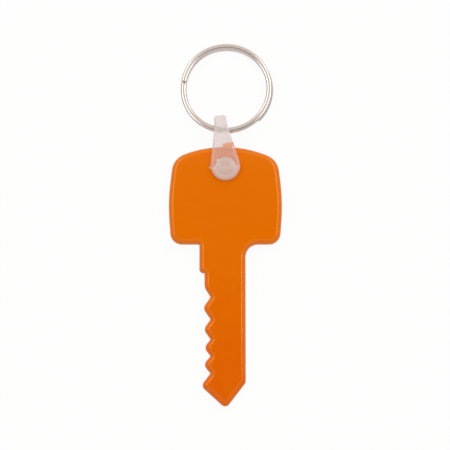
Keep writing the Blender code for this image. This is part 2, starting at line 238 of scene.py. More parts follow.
# Lit and shaded copies of the milky plastic: over the head it is painted brighter and warmer, painted light
# that makes up for the strap's own shadow on the orange key below; beyond the head it is painted darker,
# painted shade for the shadowed floor behind it.
MILKY_LIT_OVER_HEAD = ((0.92, 0.80, 0.73, 1.0), (0.94, 0.83, 0.77, 1.0))
MILKY_SHADED_BEYOND_HEAD = ((0.80, 0.715, 0.715, 1.0), (0.82, 0.735, 0.735, 1.0))
MILKY_ZONES = {
    # painted refraction of the key's orange
    "painted_refraction": (0.79, 0.33, 0.16, 1.0),
    "thick": (0.84, 0.65, 0.58, 1.0),
    "socket": (0.70, 0.49, 0.41, 1.0),
    # painted shade in the gap round the socket's upper half
    "arc": (0.64, 0.22, 0.15, 1.0),
}
# Pale colour for the weld line, the bright dot and the painted highlight on the bevels.
MILKY_LINE_AND_HIGHLIGHT = (0.92, 0.86, 0.83, 1.0)
MILKY_LINE_SHARE = 0.6
MILKY_LINE_OPACITY = 0.15
MILKY_ROUGHNESS = 0.2
MILKY_SPECULAR = 0.7

# Nickel plate
NICKEL_TINTS = ((0.66, 0.58, 0.545, 1.0), (0.70, 0.62, 0.585, 1.0))
NICKEL_HAZE_SCALE = 900.0
WIRE_LINES = (0.2, 12.0, 1.0)
NICKEL_ROUGHNESS = (0.15, 0.19)
NOISE_MIDDLE = (0.3, 0.7)

# How finely the round stretches are cut
ARC_ERROR = 0.003
FEWEST_ARC_STEPS = 4
KEY_LONGEST_SIDE = 0.9
STRAP_LONGEST_SIDE = 0.3
SHORTEST_SIDE = 0.004
SAME_POINT = 1e-7
ONLY_INSIDE = 1
INSET_ERROR = 0.006
ROUND_RINGS = 10
POINT_SPACING = 0.12
FOLD_STEPS = 40
FOLD_COLUMNS = (-0.9, -0.6, -0.3, 0.0, 0.3, 0.6, 0.9)
OUTER_RING_DEPTHS = (0.14, 0.28, 0.38, 0.46, 0.52, 0.58, 0.66, 0.76, 0.9)
INNER_RING_DEPTHS = (0.03, 0.08, 0.16, 0.4)
MARK_RING_RADII = (0.3, 0.6, 0.8, 1.0, 1.2, 1.5, 1.9, 2.3, 2.45, 2.52, 2.6, 2.68, 2.75, 2.9)
DOT_RING_RADII = (0.1, 0.2, 0.3, 0.4)
DOT_SIDES = 16
ZONE_GRID_STEP = 0.2
ZONE_GRID_ROWS = 36
ZONE_GRID_HALF_COLUMNS = 9
ZONE_GRID_LEAD = 0.5
HOLE_SIDES = 96
SECTION_SIDES = 48
RING_STEP = math.radians(1.5)
END_STEPS = 4
SHARP_EDGE = math.radians(32)
WIRE_SHARP_EDGE = math.radians(60)

# Worked out from the sizes above
HALF_BODY = BODY_THICKNESS / 2
CROWN_APEX = HEAD_TOP + CROWN_RADIUS * (1 / math.cos(CROWN_SLOPE) - 1)
LOOP_HALF_GAP = HALF_BODY + FACE_GAP
FOLD_START = STRAP_FOLD_REACH - LOOP_HALF_GAP - LEG_THICKNESS
FOLD_LENGTH = math.pi * LOOP_HALF_GAP
STRAP_LENGTH = 2 * FOLD_START + FOLD_LENGTH
RING_HEIGHT = 2 * WIRE_HEIGHT + TURN_GAP
RING_MIDDLE = RING_RADIUS - WIRE_WIDTH / 2
SOCKET_RADIUS = HOLE_RADIUS - SOCKET_CLEARANCE


class Outline:
    """A closed plate outline: corners rounded by arcs, given counter-clockwise as (x, y, radius)."""

    def __init__(self, corners, longest_side):
        self.points = []
        self.spines = []
        for index, radius in enumerate(self.fitting_radii(corners)):
            self.add_corner(*self.corner_lines(corners, index), radius)
        self.split_sides(longest_side)
        self.starts = np.array([tuple(point) for point in self.points])
        self.sides = np.roll(self.starts, -1, axis=0) - self.starts
        self.squares = (self.sides ** 2).sum(axis=1)

    @staticmethod
    def corner_lines(corners, index):
        before = Vector(corners[index - 1][:2])
        here = Vector(corners[index][:2])
        after = Vector(corners[(index + 1) % len(corners)][:2])
        return before, here, after

    def fitting_radii(self, corners):
        """The corners' radii, each made smaller where two arcs would overlap on the side between them."""
        reaches = []
        for index, corner in enumerate(corners):
            before, here, after = self.corner_lines(corners, index)
            half_angle = (before - here).angle(after - here) / 2
            reaches.append(corner[2] / math.tan(half_angle))
        shares = [1.0] * len(corners)
        for index in range(len(corners)):
            following = (index + 1) % len(corners)
            side = (Vector(corners[following][:2]) - Vector(corners[index][:2])).length
            share = side / max(side, reaches[index] + reaches[following])
            shares[index] = min(shares[index], share)
            shares[following] = min(shares[following], share)
        return [corner[2] * share for corner, share in zip(corners, shares)]

    def add_corner(self, before, here, after, radius):
        to_before = (before - here).normalized()
        to_after = (after - here).normalized()
        half_angle = to_before.angle(to_after) / 2
        half_turn = math.pi / 2 - half_angle
        bisector = (to_before + to_after).normalized()
        centre = here + bisector * (radius / math.sin(half_angle))
        convex = to_after.cross(to_before) > 0
        swing = half_turn if convex else -half_turn
        step_angle = 2 * math.acos(max(0.0, 1 - ARC_ERROR / radius))
        steps = max(FEWEST_ARC_STEPS, math.ceil(2 * half_turn / step_angle))
        outward = -bisector * radius
        for step in range(steps + 1):
            turn = swing * (2 * step / steps - 1)
            self.points.append(centre + Matrix.Rotation(turn, 2) @ outward)
        if convex:
            self.spines.append((centre, bisector, radius, half_angle))

    def split_sides(self, longest_side):
        whole = []
        for index, here in enumerate(self.points):
            side = self.points[(index + 1) % len(self.points)] - here
            if side.length < SHORTEST_SIDE:
                continue
            pieces = math.ceil(side.length / longest_side)
            for piece in range(pieces):
                whole.append(here + side * (piece / pieces))
        self.points = whole

    def inward(self, index):
        """The way into the plate at one of the outline's points."""
        chord = self.points[(index + 1) % len(self.points)] - self.points[index - 1]
        return Vector((-chord.y, chord.x)).normalized()

    def nearest(self, points):
        """For each point, its distance from the outline and the unit way from the nearest side to it."""
        distances = []
        ways = []
        for point in points:
            to_point = np.array(tuple(point)) - self.starts
            shares = np.clip((to_point * self.sides).sum(axis=1) / self.squares, 0.0, 1.0)
            gaps = to_point - self.sides * shares[:, None]
            lengths = np.hypot(gaps[:, 0], gaps[:, 1])
            best = int(lengths.argmin())
            distances.append(float(lengths[best]))
            ways.append(Vector(gaps[best] / max(lengths[best], SAME_POINT)))
        return distances, ways

    def inset(self, distance, spacing):
        """Points at one distance inside the outline, without those nearer to another side or too close."""
        candidates = []
        for centre, bisector, radius, half_angle in self.spines:
            if radius < distance:
                candidates.append(centre + bisector * ((distance - radius) / math.sin(half_angle)))
        for index, point in enumerate(self.points):
            candidates.append(point + self.inward(index) * distance)
        depths, _ = self.nearest(candidates)
        kept = []
        for point, depth in zip(candidates, depths):
            inside = depth > distance - INSET_ERROR
            if inside and not any((point - other).length < spacing for other in kept):
                kept.append(point)
        return kept


def circle(radius, sides, centre=(0.0, 0.0)):
    points = []
    for side in range(sides):
        angle = math.tau * side / sides
        points.append(Vector((centre[0] + radius * math.cos(angle), centre[1] + radius * math.sin(angle))))
    return points


def loop_edges(first, count):
    return [(first + index, first + (index + 1) % count) for index in range(count)]


def face_of_plate(loops, inner_points):
    """Points and triangles that fill the first loop around the other, convex ones, and the loops' indices."""
    points = []
    edges = []
    starts = []
    for loop in loops:
        starts.append(len(points))
        edges += loop_edges(len(points), len(loop))
        points += loop
    points += inner_points
    made, _, triangles, origins, _, _ = delaunay_2d_cdt(points, edges, [], ONLY_INSIDE, SAME_POINT)
    place = {}
    for index, sources in enumerate(origins):
        for source in sources:
            place[source] = index
    loop_indices = []
    for start, loop in zip(starts, loops):
        loop_indices.append([place[start + index] for index in range(len(loop))])
    holes = [set(loop) for loop in loop_indices[1:]]
    kept = [tuple(face) for face in triangles if not any(hole.issuperset(face) for hole in holes)]
    return [Vector(point) for point in made], kept, loop_indices


def plate(outline, holes, top, bottom, extra_points=()):
    """A plate's vertices, faces and the normal of each face corner.

    Each of top and bottom is (depths of its rings, surface), where surface gives the height and the slope
    from the depth below the outline, the way in and the place.
    """
    vertices = []
    faces = []
    normals = []
    rims = []
    for (depths, surface), sign in ((top, 1), (bottom, -1)):
        inner = []
        for distance in depths:
            inner += outline.inset(distance, POINT_SPACING)
        extra_depths, _ = outline.nearest(extra_points) if extra_points else ([], [])
        for point, depth in zip(extra_points, extra_depths):
            if depth > max(depths) + POINT_SPACING:
                inner.append(point)
        level_points, triangles, loops = face_of_plate([outline.points, *holes], inner)
        base = len(vertices)
        rim = {place: index for index, place in enumerate(loops[0])}
        distances, ways = outline.nearest(level_points)
        level_normals = []
        for index, point in enumerate(level_points):
            on_rim = index in rim
            depth = 0.0 if on_rim else distances[index]
            way = outline.inward(rim[index]) if on_rim else ways[index]
            height, slope = surface(depth, way, point)
            vertices.append(Vector((point.x, point.y, height)))
            level_normals.append(Vector((-sign * slope.x, -sign * slope.y, sign)).normalized())
        for a, b, c in triangles:
            first = level_points[a]
            up = (level_points[b] - first).cross(level_points[c] - first) > 0
            corner = (a, b, c) if up == (sign > 0) else (a, c, b)
            faces.append(tuple(base + index for index in corner))
            normals.append([level_normals[index] for index in corner])
        rims.append([[base + index for index in loop] for loop in loops])
    add_walls(outline, holes, rims, faces, normals)
    return vertices, faces, normals


def add_walls(outline, holes, rims, faces, normals):
    """The walls between the top's and the bottom's rims: the outer one first, then the holes'."""
    for number, (top, bottom) in enumerate(zip(*rims)):
        count = len(top)
        if number == 0:
            ways = [-outline.inward(index) for index in range(count)]
        else:
            ways = [-point.normalized() for point in holes[number - 1]]
        for index in range(count):
            following = (index + 1) % count
            wall = (bottom[index], bottom[following], top[following], top[index])
            first = ways[index].to_3d()
            second = ways[following].to_3d()
            sides = [first, second, second, first]
            faces.append(wall if number == 0 else wall[::-1])
            normals.append(sides if number == 0 else sides[::-1])


def rounded(radius, level, sign):
    """Ring depths and the surface of a face whose edge is rounded by a quarter circle."""
    angles = [math.pi / 2 * ring / ROUND_RINGS for ring in range(1, ROUND_RINGS + 1)]
    depths = [radius * (1 - math.cos(angle)) for angle in angles]

    def surface(depth, way, _):
        short = max(0.0, radius - depth)
        fall = math.sqrt(max(radius ** 2 - short ** 2, (radius * SAME_POINT) ** 2))
        return level - sign * (radius - fall), way * (sign * short / fall)

    return depths, surface


def ramp(value, low, high):
    """0 below low, 1 above high and smooth between them."""
    share = min(1.0, max(0.0, (value - low) / (high - low)))
    return share * share * (3 - 2 * share)


def bump(distance, width):
    """A smooth bump of height 1 and its slope, at a distance from its middle."""
    height = math.exp(-(distance / width) ** 2)
    return height, -2 * distance / width ** 2 * height


def strap_face(depth, way, point):
    """The strap's outer face: softened bevels, and a dimple and the socket's rim line on the front end."""
    to_fold = abs(point.y - STRAP_LENGTH / 2) - FOLD_LENGTH / 2
    bevel = EDGE_BEVEL + FOLD_BEVEL_EXTRA * (1 - ramp(to_fold, 0.0, FOLD_BEVEL_RUN))
    short = bevel - depth
    soft = math.hypot(short, BEVEL_SOFTNESS)
    height = LEG_THICKNESS - (short + soft) / 2
    slope = way * ((1 + short / soft) / 2)
    reach = point.length
    if reach < STRAP_END_RADIUS:
        outward = point.normalized() if reach > SAME_POINT else Vector((1, 0))
        dimple, dimple_slope = bump(reach ** 2, DIMPLE_RADIUS ** 2)
        line, line_slope = bump(reach - RIM_LINE_RADIUS, RIM_LINE_WIDTH)
        height -= DIMPLE_DEPTH * dimple + RIM_LINE_DEPTH * line
        slope -= outward * (DIMPLE_DEPTH * dimple_slope * 2 * reach + RIM_LINE_DEPTH * line_slope)
    return height, slope


def strap_inner_face(depth, way, _):
    """The strap's inner face: flat, with a small round at its edge."""
    short = max(0.0, INNER_ROUND - depth)
    least_fall = INNER_ROUND * INNER_ROUND_STEEPEST
    fall = math.sqrt(max(INNER_ROUND ** 2 - short ** 2, least_fall ** 2))
    return INNER_ROUND - fall, way * (-short / fall)


def mesh_object(name, place, vertices, faces, normals=None):
    mesh = bpy.data.meshes.new(name)
    mesh.from_pydata([place @ (vertex * MM) for vertex in vertices], [], faces)
    mesh.shade_smooth()
    if normals:
        turn = place.to_3x3()
        mesh.normals_split_custom_set([turn @ normal for corners in normals for normal in corners])
    thing = bpy.data.objects.new(name, mesh)
    bpy.context.scene.collection.objects.link(thing)
    return thing


def meet(first, first_angle, second, second_angle):
    """Where two lines meet, each given by a point and a direction."""
    first_way = Vector((math.cos(first_angle), math.sin(first_angle)))
    second_way = Vector((math.cos(second_angle), math.sin(second_angle)))
    return first + first_way * ((second - first).cross(second_way) / first_way.cross(second_way))


def head_side(side):
    """One side of the head, from its lower corner to its shoulder: side is 1 for right and -1 for left."""
    crown = Vector((side * CROWN_OFFSET, CROWN_APEX))
    side_bulge = SIDE_RADIUS * (1 / math.cos((UPPER_SIDE_LEAN + LOWER_SIDE_LEAN) / 2) - 1)
    widest = Vector((HEAD_WIDTH / 2 + side_bulge, -WIDEST_DROP))
    shoulder = meet(crown, -CROWN_SLOPE, widest, math.pi / 2 + UPPER_SIDE_LEAN)
    bottom = meet(widest, -math.pi / 2 - LOWER_SIDE_LEAN, Vector((0, -HEAD_BOTTOM)), 0)
    return [
        (side * bottom.x, bottom.y, HEAD_CORNER_RADIUS),
        (side * widest.x, widest.y, SIDE_RADIUS),
        (side * shoulder.x, shoulder.y, SHOULDER_RADIUS),
    ]


def tooth_corners():
    """The cut edge, from the first notch down to the last tooth."""
    corners = []
    for index, reach in enumerate(TOOTH_REACHES):
        middle = (NOTCH_DROPS[index] + NOTCH_DROPS[index + 1]) / 2
        corners.append((-NOTCH_LEFT, -NOTCH_DROPS[index], NOTCH_RADIUS))
        corners.append((-reach, -middle, TOOTH_RADIUS))
    corners.append((-NOTCH_LEFT, -NOTCH_DROPS[-1], NOTCH_RADIUS))
    corners.append((-LAST_TOOTH_REACH, -LAST_TOOTH_DROP, LAST_TOOTH_RADIUS))
    return corners


def key_outline():
    corners = [
        (TIP_OFFSET, -TIP_DROP, TIP_RADIUS),
        (STEM_RIGHT, -RIGHT_CORNER_DROP, RIGHT_CORNER_RADIUS),
        (STEM_RIGHT, -HEAD_BOTTOM, NECK_FILLET),
        *head_side(1),
        (CROWN_OFFSET, CROWN_APEX, CROWN_RADIUS),
        *head_side(-1)[::-1],
        (-STEM_LEFT, -HEAD_BOTTOM, INNER_FILLET),
        (-STEM_LEFT, -STEP_DROP, STEP_OUTER_RADIUS),
        (-BIT_LEFT, -STEP_DROP, STEP_INNER_RADIUS),
        (-BIT_LEFT, -BIT_TOP_DROP, BIT_TOP_RADIUS),
        *tooth_corners(),
    ]
    return Outline(corners, KEY_LONGEST_SIDE)


def key_plate(place):
    vertices, faces, normals = plate(
        key_outline(),
        [circle(HOLE_RADIUS, HOLE_SIDES)],
        rounded(FRONT_ROUND, HALF_BODY, 1),
        rounded(BACK_ROUND, -HALF_BODY, -1),
    )
    return mesh_object("key_plate", place, vertices, faces, normals)


def strap_outline():
    """The strap as moulded, before it is folded: both round ends and the narrow middle, along Y."""
    side = [
        (STRAP_END_RADIUS, -STRAP_END_RADIUS, STRAP_END_RADIUS),
        (STRAP_END_RADIUS, STRAP_FLARE_REACH, STRAP_FLARE_RADIUS),
        (STRAP_WAIST_HALF_WIDTH, STRAP_WAIST_REACH, STRAP_WAIST_RADIUS),
        (STRAP_FOLD_HALF_WIDTH, FOLD_START + FOLD_EASE, FOLD_EASE_RADIUS),
    ]
    mirrored = [(x, STRAP_LENGTH - y, radius) for x, y, radius in side[::-1]]
    right = [*side, *mirrored]
    left = [(-x, y, radius) for x, y, radius in right[::-1]]
    return Outline([*right, *left], STRAP_LONGEST_SIDE)


def folded(vertex):
    """Where a point of the flat strap goes when the strap is folded round the loop."""
    outward = LOOP_HALF_GAP + vertex.z
    past = vertex.y - FOLD_START
    if past <= 0:
        return Vector((vertex.x, vertex.y, outward))
    if past >= FOLD_LENGTH:
        return Vector((vertex.x, FOLD_START - (past - FOLD_LENGTH), -outward))
    angle = math.pi * past / FOLD_LENGTH
    return Vector((vertex.x, FOLD_START + outward * math.sin(angle), outward * math.cos(angle)))


def unfolded(vertex):
    """The place on the flat strap of a point of the folded one: across, along and above the inner face."""
    past = vertex.y - FOLD_START
    if past > 0:
        angle = math.atan2(past, vertex.z)
        along = FOLD_START + angle * FOLD_LENGTH / math.pi
        return Vector((vertex.x, along, math.hypot(past, vertex.z) - LOOP_HALF_GAP))
    if vertex.z > 0:
        return Vector((vertex.x, vertex.y, vertex.z - LOOP_HALF_GAP))
    return Vector((vertex.x, STRAP_LENGTH - vertex.y, -vertex.z - LOOP_HALF_GAP))


def turned(name, place, profile):
    """A closed solid turned about Z from (radius, height) points that start and end on the axis."""
    vertices = []
    faces = []
    inner = profile[1:-1]
    for radius, height in inner:
        for point in circle(radius, HOLE_SIDES):
            vertices.append(Vector((point.x, point.y, height)))
    first = len(vertices)
    vertices.append(Vector((0, 0, profile[0][1])))
    vertices.append(Vector((0, 0, profile[-1][1])))
    for ring in range(len(inner) - 1):
        for start, end in loop_edges(ring * HOLE_SIDES, HOLE_SIDES):
            faces.append((start, end, end + HOLE_SIDES, start + HOLE_SIDES))
    last = (len(inner) - 1) * HOLE_SIDES
    for start, end in loop_edges(0, HOLE_SIDES):
        faces.append((first, end, start))
        faces.append((first + 1, start + last, end + last))
    return mesh_object(name, place, vertices, faces)


def snap_socket(place):
    """The socket under the front end, with its bore as a re-entrant profile."""
    mouth = -LOOP_HALF_GAP + FACE_GAP
    roof = LOOP_HALF_GAP - SOCKET_ROOF
    inside = LOOP_HALF_GAP + LEG_THICKNESS / 2
    return turned("snap_socket_form", place, [
        (0, roof),
        (SOCKET_BORE_RADIUS, roof),
        (SOCKET_BORE_RADIUS, mouth),
        (SOCKET_RADIUS, mouth),
        (SOCKET_RADIUS, inside),
        (0, inside),
    ])


def snap_pin(place):
    """The pin on the back end, with a small bulb near its top that snaps into the socket."""
    radius = SOCKET_BORE_RADIUS - SNAP_CLEARANCE - SNAP_BULB
    top = LOOP_HALF_GAP - SOCKET_ROOF - SNAP_CLEARANCE
    inside = -LOOP_HALF_GAP - LEG_THICKNESS / 2
    return turned("snap_pin_form", place, [
        (0, inside),
        (radius, inside),
        (radius, top - SNAP_NECK_DROP),
        (radius + SNAP_BULB, top - SNAP_BULB_DROP),
        (radius, top),
        (0, top),
    ])


def gate_mark(place):
    """The small stub that is left where the moulding's gate was cut off, at the side of the front end."""
    profile = []
    for step in range(GATE_STEPS + 1):
        angle = math.pi * step / GATE_STEPS - math.pi / 2
        profile.append((math.cos(angle), math.sin(angle)))
    profile[0] = (0, -1)
    profile[-1] = (0, 1)
    centre = Vector(GATE_PLACE) + Vector((0, 0, LOOP_HALF_GAP))
    shape = Matrix.Diagonal((*GATE_SIZE, 1))
    return turned("gate_mark_form", place @ Matrix.Translation(centre * MM) @ shape, profile)


def milky_zones(end):
    """How far a place on one of the strap's ends belongs to each zone, from 0 to 1."""
    reach = (end + Vector((0, MARKS_DROP))).length
    socket = 1 - ramp(reach, SOCKET_RADIUS, RIM_LINE_RADIUS + SOCKET_BLEND)
    # A painted refraction: the key's orange painted on the strap above the head's edge.
    painted_refraction = 1 - ramp(end.y - PAINTED_REFRACTION_HEIGHT - PAINTED_REFRACTION_SLOPE * end.x, *PAINTED_REFRACTION_TOP)
    painted_refraction *= ramp(end.x, PAINTED_REFRACTION_LEFT, PAINTED_REFRACTION_LEFT + PAINTED_REFRACTION_LEFT_BLEND) * ramp(end.y, *PAINTED_REFRACTION_BOTTOM)
    return {
        "loop": ramp(end.y, LOOP_START, LOOP_START + LOOP_BLEND),
        "painted_refraction": painted_refraction,
        "socket": socket,
        "thick": (1 - ramp(end.y, *THICK_TOP)) * (1 - socket),
        # painted shade in the gap round the socket's upper half
        "arc": bump(reach - HOLE_RADIUS - PAINTED_GAP_SHADE_OFFSET, PAINTED_GAP_SHADE_WIDTH)[0] * ramp(end.y, *PAINTED_GAP_SHADE_BOTTOM),
    }


def milky_opacity(end, zones):
    """How much the strap's outer face hides at a place on one of its ends."""
    low, high, fading, gone = RING_CROSSING
    by_ring = ramp(end.y, low, high) * (1 - ramp(end.y, fading, gone))
    # Beyond the head the face hides more, painted shade that stands for the shadowed floor behind the strap.
    opacity = OPACITY_THIN + (OPACITY_SHADED_LOOP - OPACITY_THIN) * zones["loop"]
    opacity += (OPACITY_BY_RING - OPACITY_SHADED_LOOP) * by_ring
    opacity += (OPACITY_PAINTED_REFRACTION - opacity) * zones["painted_refraction"]
    opacity += (OPACITY_THICK - OPACITY_THIN) * max(zones["thick"], PAINTED_GAP_SHADE_THICKNESS * zones["arc"])
    return opacity + (OPACITY_OVER_SOCKET - OPACITY_THIN) * zones["socket"]


def milky_line(end, depth, zones):
    """How strong the pale lines are: a painted highlight on the bevels' inner edges, the weld line and one
    bright dot.
    """
    dot = DOT_STRENGTH * bump((end - Vector(DOT_PLACE)).length, DOT_RADIUS)[0]
    weld = WELD_STRENGTH * bump(end.y - WELD_HEIGHT, WELD_WIDTH)[0] * ramp(abs(end.x), *WELD_INNER_END)
    left_by_thick = 1 - BEVEL_LINE_LOSS_THICK * zones["thick"]
    left_by_loop = 1 - BEVEL_LINE_LOSS_LOOP * zones["loop"]
    # Painted highlight along the bevels' inner edges.
    bevel = bump(depth - EDGE_BEVEL, BEVEL_LINE_WIDTH)[0] * left_by_thick * left_by_loop
    return max(bevel, dot, weld)


def milkiness(strap, place, outline):
    """Stores on each vertex how the milky plastic looks there, for its material.

    Opacity is how much the face hides. Loop is 1 beyond the head's edge, where painted shade makes the
    plastic darker and lets it hide more. The painted refraction mask is 1 where the key's orange is painted
    on the plastic above the head's edge. Socket is 1 over the socket and its pin, thick is 1 in the thick
    lower half of each round end, and the painted gap shade mask is 1 on the painted shade in the gap round
    the socket's upper half. Line is the strength of the pale lines, whose part on the bevels is a painted
    highlight.
    """
    back = place.inverted()
    spots = [unfolded(back @ vertex.co / MM) for vertex in strap.data.vertices]
    depths, _ = outline.nearest([spot.xy for spot in spots])
    values = {name: [] for name in MASKS}
    for spot, depth in zip(spots, depths):
        end = Vector((spot.x, min(spot.y, STRAP_LENGTH - spot.y)))
        outer = ramp(spot.z, *OUTER_FACE)
        inside = OPACITY_SOCKET if spot.z < SOCKET_TOP else 0.0
        look = milky_zones(end)
        look["line"] = milky_line(end, depth, look) * outer
        look["opacity"] = inside + (milky_opacity(end, look) - inside) * outer
        for name in MASKS:
            values[name].append(look[name])
    for name, numbers in values.items():
        strap.data.attributes.new(name, "FLOAT", "POINT").data.foreach_set("value", numbers)


def strap_points():
    """Points inside the strap's outline that carry its bend, its marks and the edges of its milky zones."""
    points = []
    for step in range(FOLD_STEPS + 1):
        along = FOLD_START + FOLD_LENGTH * step / FOLD_STEPS
        points += [Vector((across, along)) for across in FOLD_COLUMNS]
    for radius in MARK_RING_RADII:
        points += circle(radius, HOLE_SIDES // 2)
    for radius in DOT_RING_RADII:
        points += circle(radius, DOT_SIDES, DOT_PLACE)
    for row in range(ZONE_GRID_ROWS):
        along = LOOP_START - ZONE_GRID_LEAD + ZONE_GRID_STEP * row
        for column in range(-ZONE_GRID_HALF_COLUMNS, ZONE_GRID_HALF_COLUMNS + 1):
            front = Vector((ZONE_GRID_STEP * column, along))
            points += [front, Vector((front.x, STRAP_LENGTH - front.y))]
    return points


def strap_moulding(place):
    outline = strap_outline()
    vertices, faces, _ = plate(
        outline,
        [],
        (OUTER_RING_DEPTHS, strap_face),
        (INNER_RING_DEPTHS, strap_inner_face),
        strap_points(),
    )
    strap = mesh_object("strap_moulding", place, [folded(vertex) for vertex in vertices], faces)
    forms = [snap_socket(place), snap_pin(place), gate_mark(place)]
    bpy.context.view_layer.objects.active = strap
    for form in forms:
        union = strap.modifiers.new(form.name, "BOOLEAN")
        union.operation = "UNION"
        union.solver = "EXACT"
        union.object = form
        bpy.ops.object.modifier_apply(modifier=union.name)
        bpy.data.objects.remove(form)
    strap.data.shade_smooth()
    strap.data.set_sharp_from_angle(angle=SHARP_EDGE)
    milkiness(strap, place, outline)
    return strap


def wire_section():
    """The flattened wire's section, a rounded rectangle without flats, as (outward, up) points in order."""
    points = []
    for side in range(SECTION_SIDES):
        angle = math.tau * side / SECTION_SIDES
        across = math.copysign(abs(math.cos(angle)) ** (2 / WIRE_SQUARENESS), math.cos(angle))
        up = math.copysign(abs(math.sin(angle)) ** (2 / WIRE_SQUARENESS), math.sin(angle))
        points.append((across * WIRE_WIDTH / 2, up * WIRE_HEIGHT / 2))
    return points


def ring_level(angle):
    """The wire's height at an angle: low, then a smooth rise, then high."""
    share = min(1.0, max(0.0, (angle - RISE_START) / RISE_SWEEP))
    eased = (1 - math.cos(math.pi * share)) / 2
    return (WIRE_HEIGHT + TURN_GAP) * (eased - 0.5)


def pinch(angle):
    """How far the upper turn lies inside the lower one, around the side where the lower turn ends."""
    share = min(1.0, abs(angle - PINCH_MIDDLE) / PINCH_HALF_SPAN)
    return PINCH * (1 + math.cos(math.pi * share)) / 2


def coil_stations():
    """The angles at which the wire's section is set, with its size: 1, and less in the ends' bevels."""
    upper_end = RISE_START + math.tau
    bevel_angle = END_BEVEL / RING_MIDDLE
    stations = []
    for step in range(END_STEPS):
        share = step / END_STEPS
        stations.append((LOWER_END + bevel_angle * share, math.sqrt(1 - (1 - share) ** 2)))
    steps = math.ceil((upper_end - LOWER_END) / RING_STEP)
    for step in range(steps + 1):
        share = step / steps
        stations.append((LOWER_END + bevel_angle + (upper_end - LOWER_END - 2 * bevel_angle) * share, 1.0))
    for step in range(1, END_STEPS + 1):
        share = step / END_STEPS
        stations.append((upper_end - bevel_angle * (1 - share), math.sqrt(1 - share ** 2)))
    return stations


def ring_coil(place, centre, heading):
    section = wire_section()
    count = len(section)
    stations = coil_stations()
    vertices = []
    faces = []
    along = []
    for angle, size in stations:
        for outward, up in section:
            shrunk = END_BEVEL * (1 - size)
            out = math.copysign(max(0.0, abs(outward) - shrunk), outward)
            high = math.copysign(max(0.0, abs(up) - shrunk), up)
            reach = RING_MIDDLE - pinch(angle) + out
            around = angle - heading
            spot = Vector((reach * math.cos(around), reach * math.sin(around), ring_level(angle) + high))
            vertices.append(centre + spot)
            along.append(angle * RING_MIDDLE)
    for step in range(len(stations) - 1):
        for start, end in loop_edges(step * count, count):
            faces.append((start, start + count, end + count, end))
    last = (len(stations) - 1) * count
    faces.append(tuple(range(count)))
    faces.append(tuple(last + index for index in reversed(range(count))))
    ring = mesh_object("ring_coil", place, vertices, faces)
    ring.data.set_sharp_from_angle(angle=WIRE_SHARP_EDGE)
    unwrapped = ring.data.uv_layers.new(name="along_wire")
    for loop in ring.data.loops:
        around = loop.vertex_index % count
        unwrapped.data[loop.index].uv = (along[loop.vertex_index], around / count)
    return ring


class Nodes:
    """A small helper that adds nodes to a tree and links them.

    A Mix node's colour sockets share their names with its other sockets, so they go by their numbers.
    """

    MIX_SHARE = 0
    MIX_FIRST = 6
    MIX_SECOND = 7
    MIX_RESULT = 2

    def __init__(self, tree):
        self.tree = tree

    def add(self, kind, inputs=None, **values):
        node = self.tree.nodes.new(kind)
        for name, value in values.items():
            setattr(node, name, value)
        for name, value in (inputs or {}).items():
            if isinstance(value, bpy.types.NodeSocket):
                self.tree.links.new(value, node.inputs[name])
            else:
                node.inputs[name].default_value = value
        return node

    def math(self, operation, first, second=0.0):
        return self.add("ShaderNodeMath", {0: first, 1: second}, operation=operation).outputs[0]

    def span(self, value, low, high, to_low, to_high, smooth=False):
        kind = "SMOOTHSTEP" if smooth else "LINEAR"
        inputs = {"Value": value, "From Min": low, "From Max": high, "To Min": to_low, "To Max": to_high}
        return self.add("ShaderNodeMapRange", inputs, interpolation_type=kind).outputs["Result"]

    def noise(self, place, scale, detail=2.0, roughness=0.5):
        inputs = {"Vector": place, "Scale": scale, "Detail": detail, "Roughness": roughness}
        return self.add("ShaderNodeTexNoise", inputs).outputs["Fac"]

    def blend(self, share, first, second):
        inputs = {self.MIX_SHARE: share, self.MIX_FIRST: first, self.MIX_SECOND: second}
        return self.add("ShaderNodeMix", inputs, data_type="RGBA").outputs[self.MIX_RESULT]

    def feed(self, shader, name, value):
        self.tree.links.new(value, shader.inputs[name])


def new_material(name):
    material = bpy.data.materials.new(name)
    material.use_nodes = True
    shader = material.node_tree.nodes["Principled BSDF"]
    return material, Nodes(material.node_tree), shader


